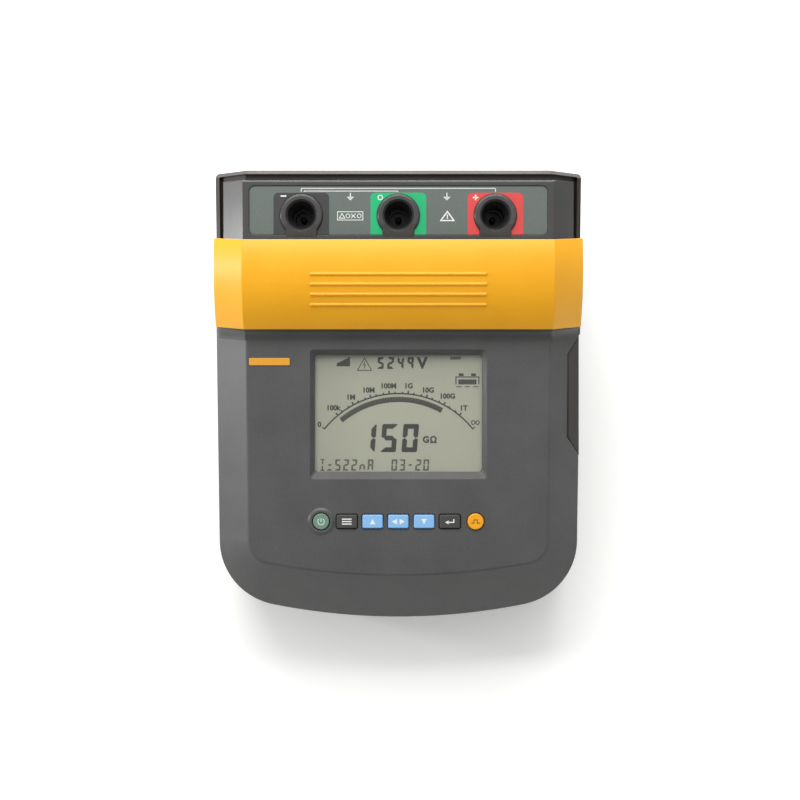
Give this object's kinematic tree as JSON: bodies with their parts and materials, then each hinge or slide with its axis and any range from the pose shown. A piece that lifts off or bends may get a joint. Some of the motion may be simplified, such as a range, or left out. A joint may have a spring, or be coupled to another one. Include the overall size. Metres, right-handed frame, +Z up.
{
  "type": "insulation resistance tester",
  "caption": "Portable insulation resistance tester: wedge case, arched yellow grip, shrouded test sockets at the top, arc-scale display and a row of keys.",
  "frame": {"origin": "middle of the footprint, on the surface that the feet stand on", "axes": "+Z up, +X to the user's right, -Y towards the user, +Y towards the back wall; the front panel slopes up 18 degrees towards +Y"},
  "size_m": [0.2474, 0.3284, 0.1702],
  "materials": {
    "case_grey": "fine spark-eroded texture",
    "case_base": "fine spark-eroded texture",
    "side_plastic": "matte",
    "core_black": "matte",
    "grip_yellow": "satin",
    "seal_rubber": "matte",
    "foot_rubber": "matte",
    "label_grey": "printed film",
    "tag_black": "printed film",
    "tag_green": "printed film",
    "tag_red": "printed film",
    "sleeve_black": "satin",
    "window_clear": "clear",
    "display_glass": "liquid crystal cell",
    "light_guide": "clear acrylic",
    "board_green": "solder mask",
    "component_black": "moulded",
    "badge_plate": "plain enamel",
    "contact_nickel": "nickel plated",
    "contact_brass": "plated",
    "infrared_red": "dark filter",
    "lead_red": "insulated wire",
    "core_steel": "laminated",
    "winding_copper": "enamelled wire",
    "battery_block": "moulded case",
    "screw_steel": "zinc plated",
    "fuse_glass": "clear",
    "key_green": "satin",
    "key_dark": "satin",
    "key_blue": "satin",
    "key_amber": "satin"
  },
  "bodies": {
    "case": {"upper_shell": "case_grey", "terminal_housing": "case_grey", "lower_shell": "case_base", "case_gasket": "seal_rubber", "display_seal": "seal_rubber", "grip": "grip_yellow", "grip_core": "core_black", "terminal_label": "label_grey", "tag_negative": "tag_black", "tag_guard": "tag_green", "tag_positive": "tag_red", "display_window": "window_clear", "display_cell": "display_glass", "display_backlight": "light_guide", "display_carrier": "core_black", "keypad_board": "board_green", "main_board": "board_green", "hv_board": "board_green", "charger_board": "board_green", "key_switches": "component_black", "board_components": "component_black", "hv_module": "component_black", "name_badge": "badge_plate", "side_panel": "side_plastic", "mains_inlet": "sleeve_black", "inlet_pins": "contact_nickel", "infrared_window": "infrared_red", "socket_nuts": "contact_brass", "socket_leads": "lead_red", "hv_transformer_core": "core_steel", "charger_transformer_core": "core_steel", "hv_transformer_winding": "winding_copper", "charger_transformer_winding": "winding_copper", "battery": "battery_block", "battery_tabs": "contact_brass", "battery_strap": "screw_steel", "battery_leads": "lead_red", "fuse": "fuse_glass", "fuse_clips": "contact_brass", "rubber_feet": "foot_rubber", "case_screws": "screw_steel", "main_board_screws": "screw_steel", "keypad_screws": "screw_steel", "grip_screws": "screw_steel", "hv_board_screws": "screw_steel", "base_screws": "screw_steel", "socket_sleeve_negative": "sleeve_black", "contact_pin_negative": "contact_brass", "socket_sleeve_guard": "sleeve_black", "contact_pin_guard": "contact_brass", "socket_sleeve_positive": "sleeve_black", "contact_pin_positive": "contact_brass"},
    "power_key": {"key_power": "key_green"},
    "function_key": {"key_function": "key_dark"},
    "up_key": {"key_up": "key_blue"},
    "left_right_key": {"key_left_right": "key_blue"},
    "down_key": {"key_down": "key_blue"},
    "enter_key": {"key_enter": "key_dark"},
    "test_key": {"key_test": "key_amber"}
  },
  "joints": [
    {"name": "power_press", "type": "slide", "parent": "case", "child": "power_key", "axis": [0, 0.309, -0.9511], "range_m": [0, 0.0012], "stiffness_N_per_m": 400, "springref_m": -0.001},
    {"name": "function_press", "type": "slide", "parent": "case", "child": "function_key", "axis": [0, 0.309, -0.9511], "range_m": [0, 0.0012], "stiffness_N_per_m": 400, "springref_m": -0.001},
    {"name": "up_press", "type": "slide", "parent": "case", "child": "up_key", "axis": [0, 0.309, -0.9511], "range_m": [0, 0.0012], "stiffness_N_per_m": 400, "springref_m": -0.001},
    {"name": "left_right_press", "type": "slide", "parent": "case", "child": "left_right_key", "axis": [0, 0.309, -0.9511], "range_m": [0, 0.0012], "stiffness_N_per_m": 400, "springref_m": -0.001},
    {"name": "down_press", "type": "slide", "parent": "case", "child": "down_key", "axis": [0, 0.309, -0.9511], "range_m": [0, 0.0012], "stiffness_N_per_m": 400, "springref_m": -0.001},
    {"name": "enter_press", "type": "slide", "parent": "case", "child": "enter_key", "axis": [0, 0.309, -0.9511], "range_m": [0, 0.0012], "stiffness_N_per_m": 400, "springref_m": -0.001},
    {"name": "test_press", "type": "slide", "parent": "case", "child": "test_key", "axis": [0, 0.309, -0.9511], "range_m": [0, 0.0012], "stiffness_N_per_m": 400, "springref_m": -0.001}
  ]
}
